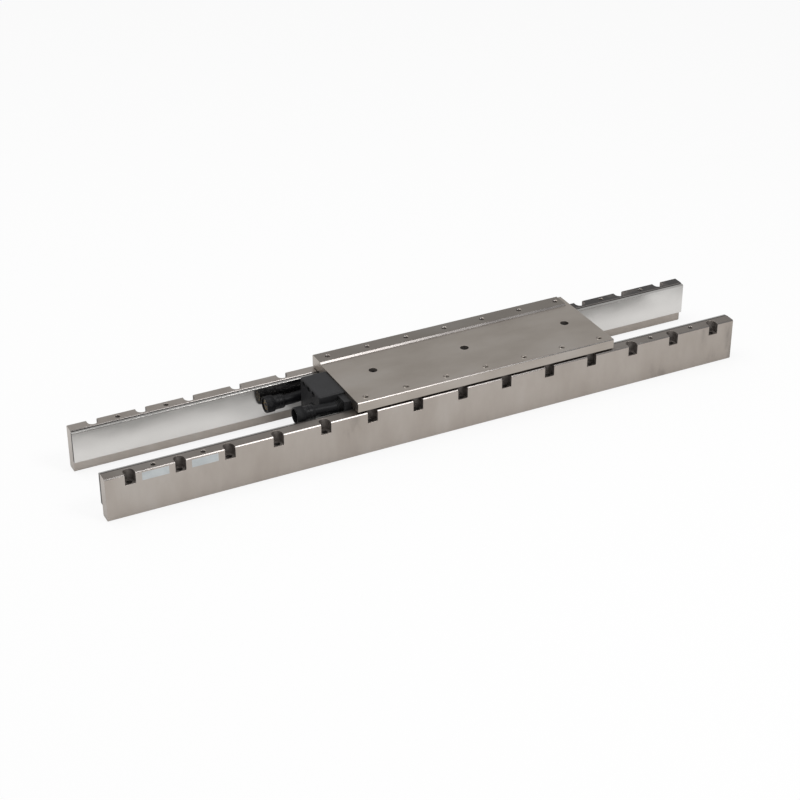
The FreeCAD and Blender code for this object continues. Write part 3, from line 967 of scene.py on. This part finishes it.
clamp_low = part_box("clamp_screws")[0]
clamp_seat = 0.055
clamp_places = [(x, 0.0, clamp_seat) for x in (-0.0515, 0.0605, 0.1885)]
clamp_screw = socket_screw(
    head_radius=0.00425,
    head_height=0.005,
    shank_radius=0.00245,
    shank_length=clamp_seat - clamp_low.z,
    key=0.004,
    key_depth=0.0025,
    ridges=36,
)
clamp_turn = (0.0, math.radians(90), 0.0)
clamps = in_row("clamp_screw_set", clamp_screw, clamp_places, black_steel, clamp_turn)
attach(clamps, "mover")
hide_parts("clamp_screws")


# Coil core. Thin electrical sheets lie flat in a stack, with a spine along the middle and
# twelve straight teeth out to each side. Bars above and below take the clamp screws.
core_steel = Finish("core_steel", (0.26, 0.26, 0.27), metal=1.0, roughness=0.45)
core_stack = core_steel.noise(0.0005, stretch=(0.01, 0.01, 1.0), detail=1.0)
core_cloud = core_steel.noise(0.02, detail=4.0)
core_steel.tint(core_stack, (0.35, (0.19, 0.19, 0.20)), (0.65, (0.34, 0.34, 0.35)))
core_steel.rough(0.36 + core_cloud * 0.2)
core_steel.bump(core_stack, 0.00006)
coat("coil_core", core_steel)

bar_metal = Finish("bar_metal", (0.55, 0.55, 0.56), metal=1.0, roughness=0.35)
bar_cloud = bar_metal.noise(0.012, detail=4.0)
bar_metal.tint(bar_cloud, (0.3, (0.48, 0.48, 0.49)), (0.8, (0.62, 0.62, 0.63)))
bar_metal.rough(0.28 + bar_cloud * 0.2)
bar_metal.bump(bar_metal.noise(0.0006, stretch=(0.02, 1, 1)), 0.00003)
coat("core_spacer_bar", bar_metal)
coat("core_tie_bar", bar_metal)

liner_sheet = Finish("liner_sheet", (0.80, 0.77, 0.66), roughness=0.6)
liner_cloud = liner_sheet.noise(0.004, detail=5.0)
liner_sheet.tint(liner_cloud, (0.3, (0.72, 0.68, 0.56)), (0.8, (0.86, 0.84, 0.74)))
liner_sheet.rough(0.52 + liner_cloud * 0.2)
liner_sheet.bump(liner_sheet.noise(0.0004, stretch=(1, 0.2, 1)), 0.00004)
coat("tooth_liners", liner_sheet)


# Windings. Eight coils of enamelled copper wire a phase, each wound in close layers on its own
# tooth before the whole stack is cast in.
copper = Finish("copper_wire", (0.55, 0.21, 0.08), metal=0.9, roughness=0.3)
wire_rows = copper.node(
    "ShaderNodeTexWave",
    {"wave_type": "BANDS", "bands_direction": "Y", "wave_profile": "SIN"},
    {"Vector": copper.place((1, 1, 1)), "Scale": 300.0, "Distortion": 0.4, "Detail": 1.0},
    output="Fac",
)
copper_cloud = copper.noise(0.006, detail=4.0)
copper.tint(
    wire_rows * 0.6 + copper_cloud * 0.4, (0.15, (0.22, 0.07, 0.025)), (0.75, (0.66, 0.27, 0.10))
)
copper.rough(0.24 + copper_cloud * 0.2)
copper.bump(wire_rows, 0.0002)
for phase in "uvw":
    coat("windings_" + phase, copper)

sensor_body = Finish("sensor_body", (0.03, 0.03, 0.03), roughness=0.45)
sensor_cloud = sensor_body.noise(0.003, detail=4.0)
sensor_body.tint(sensor_cloud, (0.3, (0.022, 0.022, 0.023)), (0.8, (0.050, 0.050, 0.050)))
sensor_body.rough(0.36 + sensor_cloud * 0.2)
sensor_body.bump(sensor_body.noise(0.0005), 0.00003)
coat("thermal_protector", sensor_body)
coat("hall_sensors", sensor_body)


# Potting. Black filled resin, cast round core and coils in one block and left slightly glossy,
# with faint flow clouds. A moulded cap closes its right end.
potting = Finish("potting_resin", (0.025, 0.025, 0.027), roughness=0.34)
potting_cloud = potting.noise(0.03, detail=5.0)
potting.tint(potting_cloud, (0.3, (0.018, 0.018, 0.020)), (0.8, (0.040, 0.040, 0.043)))
potting.rough(0.26 + potting_cloud * 0.2)
potting.bump(potting.noise(0.006, detail=5.0), 0.00012)
coat("coil_potting", potting)

cap_plastic = Finish("cap_plastic", (0.028, 0.028, 0.030), roughness=0.48)
cap_cloud = cap_plastic.noise(0.012, detail=4.0)
cap_plastic.tint(cap_cloud, (0.3, (0.022, 0.022, 0.024)), (0.8, (0.042, 0.042, 0.045)))
cap_plastic.rough(0.40 + cap_cloud * 0.2)
cap_plastic.bump(cap_plastic.noise(0.0005), 0.00005)
end_cap = new_piece("right_end_cap_moulded", eased_copy("right_end_cap", ease=0.0004), cap_plastic)
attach(end_cap, "mover")
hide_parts("right_end_cap")


# Terminal block. A black glass-filled moulding with a fine grain, held against the plate's left
# edge by three sunk screws. It covers the board where the phase leads are joined.
block_plastic = Finish("block_plastic", (0.021, 0.021, 0.022), roughness=0.5, specular=0.25)
block_cloud = block_plastic.noise(0.018, detail=4.0)
block_grain = block_plastic.noise(0.0006, detail=2.0)
block_plastic.tint(block_cloud, (0.3, (0.016, 0.016, 0.017)), (0.8, (0.027, 0.027, 0.029)))
block_plastic.rough(0.42 + block_cloud * 0.16)
block_plastic.bump(block_grain, 0.00008)
block = new_piece("terminal_block_moulded", eased_copy("terminal_block", ease=0.0003), block_plastic)
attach(block, "mover")
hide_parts("terminal_block")

block_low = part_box("terminal_block")[0]
block_screw_low, block_screw_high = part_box("block_screws")
block_screw_sink = 0.005
block_screw_pitch = 0.0122
block_screw_seat = block_low.x + block_screw_sink
block_screw_z = (block_screw_low.z + block_screw_high.z) / 2
block_screw_y = (block_screw_low.y + block_screw_high.y) / 2
block_screw_places = [
    (block_screw_seat, block_screw_y + block_screw_pitch * step, block_screw_z) for step in (-1, 0, 1)
]
block_screw = socket_screw(
    head_radius=0.00275,
    head_height=0.003,
    shank_radius=0.0015,
    shank_length=block_screw_high.x - block_screw_seat,
    key=0.0025,
    key_depth=0.0015,
    ridges=24,
)
block_screw_set = in_row("block_screw_set", block_screw, block_screw_places, black_steel)
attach(block_screw_set, "mover")
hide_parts("block_screws")

blank_outline = [
    (0.0, 0.0048),
    (-0.0008, 0.0048),
    (-0.0012, 0.0044),
    (-0.0012, 0.0030),
    (-0.0009, 0.0027),
    (-0.0009, 0.0002),
]
blank_sides = 48
blank_place = (block_low.x, -0.006, 0.040)
blank = turned(blank_outline, blank_sides, blank_place)
blank_plug = new_piece("block_blanking_plug", finished_mesh("block_blanking_plug", blank), gland_rubber)
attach(blank_plug, "mover")

board_lacquer = Finish("circuit_board", (0.03, 0.16, 0.07), roughness=0.3)
board_tracks = board_lacquer.noise(0.0016, stretch=(0.3, 1, 1), detail=1.0)
board_lacquer.tint(board_tracks, (0.46, (0.020, 0.120, 0.055)), (0.54, (0.045, 0.210, 0.095)))
board_lacquer.rough(0.22 + board_lacquer.noise(0.004) * 0.16)
board_lacquer.bump(board_tracks, 0.00004)
coat("terminal_board", board_lacquer)

sleeving = Finish("shrunk_sleeving", (0.035, 0.035, 0.036), roughness=0.5)
sleeving_cloud = sleeving.noise(0.002, detail=4.0)
sleeving.tint(sleeving_cloud, (0.3, (0.026, 0.026, 0.027)), (0.8, (0.060, 0.060, 0.062)))
sleeving.rough(0.42 + sleeving_cloud * 0.2)
sleeving.bump(sleeving.noise(0.0008), 0.00006)
coat("lead_splices", sleeving)
